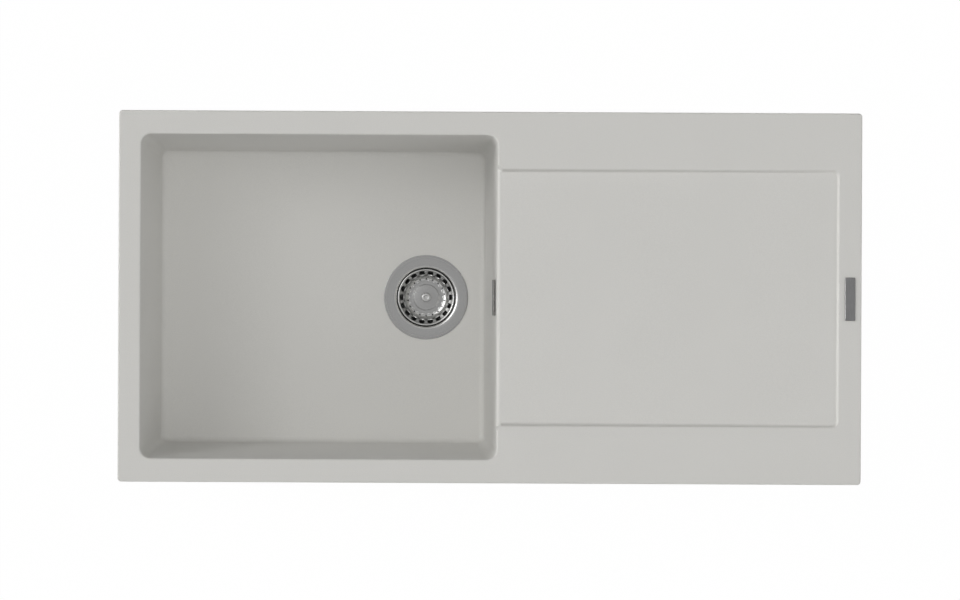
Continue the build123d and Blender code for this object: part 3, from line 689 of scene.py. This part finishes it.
def strainerKnob():
    values = knobValues
    low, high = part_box("basket_knob")
    edge = (high.x - low.x) / 2
    footTop = low.z + values["foot"][1]
    dimple = values["dimple"][0]
    dimpleLevel = high.z - values["dimple"][1]
    rings = [
        (values["pole"], low.z),
        (values["foot"][0], low.z),
        (values["foot"][0], footTop),
        (values["waist"], footTop + values["flare"]),
        (values["waist"], high.z - values["crownHeight"]),
        (edge, high.z - values["crownHeight"] + values["flare"]),
        (edge, high.z),
        (dimple + values["dimpleWidening"], high.z),
        (dimple, dimpleLevel),
        (values["pole"], dimpleLevel),
    ]
    piece = pullRings("strainerKnob", rings, values["around"], drain)
    bpy.ops.mesh.merge(type="CENTER")
    bendRing(piece, rings[6], drain, *values["crownRound"])
    bendRing(piece, rings[5], drain, *values["skirtBend"])
    for ring in rings[7:9]:
        bendRing(piece, ring, drain, *values["dimpleBend"])
    for ring in rings[1:5]:
        bendRing(piece, ring, drain, *values["lowBend"])
    facesOutwards(values["poleMerge"])
    edit(False)
    finishPiece(piece, "satinSteel", "steel", "strainer", "basket_knob")


wasteDish()
strainerBasket()
strainerKnob()
print("waste modelled")


# Floor and light
floorSet = {
    "size": 60.0,
    "below": 1.0 * mm,
    "shade": (0.9, 0.9, 0.9, 1.0),
    "roughness": 0.9,
    "whiteShare": 0.99,  # how much of it the camera and reflections see as plain white
}
deselectAll()
bpy.ops.mesh.primitive_plane_add(size=floorSet["size"], location=(0.0, 0.0, cadLow.z - floorSet["below"]))
floor = bpy.context.object
floor.name = "floor"


def lightPath(tree, *kinds):
    # 1 for rays of these kinds, 0 for the others
    path = tree.nodes.new("ShaderNodeLightPath")
    total = path.outputs[kinds[0]]
    for kind in kinds[1:]:
        total = reckon(tree, "ADD", total, path.outputs[kind], clamp=True)
    return total


def floorMaterial():
    made, tree, shader = newMaterial("paleFloor")
    fill(shader, Base_Color=floorSet["shade"], Roughness=floorSet["roughness"])
    glow = addNode(tree, "ShaderNodeEmission", Strength=1.0)
    mix = tree.nodes.new("ShaderNodeMixShader")
    seen = lightPath(tree, "Is Camera Ray", "Is Glossy Ray", "Is Transmission Ray")
    tree.links.new(reckon(tree, "MULTIPLY", seen, floorSet["whiteShare"]), mix.inputs["Fac"])
    tree.links.new(shader.outputs["BSDF"], mix.inputs[1])
    tree.links.new(glow.outputs["Emission"], mix.inputs[2])
    tree.links.new(mix.outputs["Shader"], tree.nodes["Material Output"].inputs["Surface"])
    return made


floor.data.materials.append(floorMaterial())

skySet = {
    "overhead": 10.2,  # a softbox straight above; the power makes it narrow
    "overheadPower": 80.0,
    "right": 1.4,  # two wide ones, at the right and in front
    "rightPower": 6.0,
    "front": 0.74,
    "frontPower": 6.0,
    "boxElevation": 36.0,
    "metalOverhead": 0.54,  # what polished metal sees there; at the horizon it sees the white backdrop
    "metalFrom": 0.8,  # sine of the elevation at which that starts
}
suns = {  # azimuth is round from +X; all angles in degrees
    "key": {"azimuth": 158.0, "elevation": 46.0, "strength": 0.92, "softness": 46.0},
    "glint": {"azimuth": 158.0, "elevation": 46.0, "strength": 0.12, "softness": 10.0},
    # a low one at the left, for the edges that face it
    "edge": {"azimuth": 180.0, "elevation": 4.0, "strength": 1.25, "softness": 8.0},
}
sunDistance = 3.0  # a sun shines the same from anywhere; only its direction counts


def mixNumber(tree, share, first, second):
    # first where share is 0, second where it is 1
    made = tree.nodes.new("ShaderNodeMix")
    made.data_type = "FLOAT"
    tree.links.new(share, made.inputs["Factor"])
    feed(tree, made.inputs["A"], first)
    feed(tree, made.inputs["B"], second)
    return made.outputs["Result"]


def towards(azimuth, elevation):
    turn, rise = math.radians(azimuth), math.radians(elevation)
    return Vector((math.cos(turn) * math.cos(rise), math.sin(turn) * math.cos(rise), math.sin(rise)))


def softbox(tree, direction, place, name):
    # a soft patch of sky, brightest towards its place
    facing = addNode(tree, "ShaderNodeVectorMath")
    facing.operation = "DOT_PRODUCT"
    facing.inputs[1].default_value = place
    tree.links.new(direction, facing.inputs[0])
    above = spread(tree, facing.outputs["Value"], 0.0, 1.0)
    narrow = reckon(tree, "POWER", above, skySet[name + "Power"])
    return spread(tree, narrow, 0.0, skySet[name])


def studioWorld():
    world = bpy.data.worlds.new("studio")
    bpy.context.scene.world = world
    world.use_nodes = True
    sky = world.node_tree
    sky.nodes.clear()
    light = addNode(sky, "ShaderNodeBackground", Color=(1.0, 1.0, 1.0, 1.0))
    out = sky.nodes.new("ShaderNodeOutputWorld")
    direction = sky.nodes.new("ShaderNodeTexCoord").outputs["Generated"]
    height = sky.nodes.new("ShaderNodeSeparateXYZ")
    sky.links.new(direction, height.inputs["Vector"])
    total = softbox(sky, direction, towards(0.0, 90.0), "overhead")
    for name, azimuth in (("right", 0.0), ("front", -90.0)):
        side = softbox(sky, direction, towards(azimuth, skySet["boxElevation"]), name)
        total = reckon(sky, "ADD", total, side)
    polished = spread(sky, height.outputs["Z"], 1.0, skySet["metalOverhead"], 0.0, skySet["metalFrom"])
    seen = mixNumber(sky, lightPath(sky, "Is Glossy Ray", "Is Transmission Ray"), total, polished)
    seen = mixNumber(sky, lightPath(sky, "Is Camera Ray"), seen, 1.0)
    sky.links.new(seen, light.inputs["Strength"])
    sky.links.new(light.outputs["Background"], out.inputs["Surface"])


def softSun(name, azimuth, elevation, strength, softness):
    place = towards(azimuth, elevation)
    bpy.ops.object.light_add(type="SUN", location=place * sunDistance)
    lamp = bpy.context.object
    lamp.name = name
    lamp.data.energy = strength
    lamp.data.angle = math.radians(softness)
    lamp.rotation_euler = (-place).to_track_quat("-Z", "Y").to_euler()


studioWorld()
for name, sun in suns.items():
    softSun(name, **sun)
bpy.context.scene.view_settings.view_transform = "Standard"
print("light and camera set")
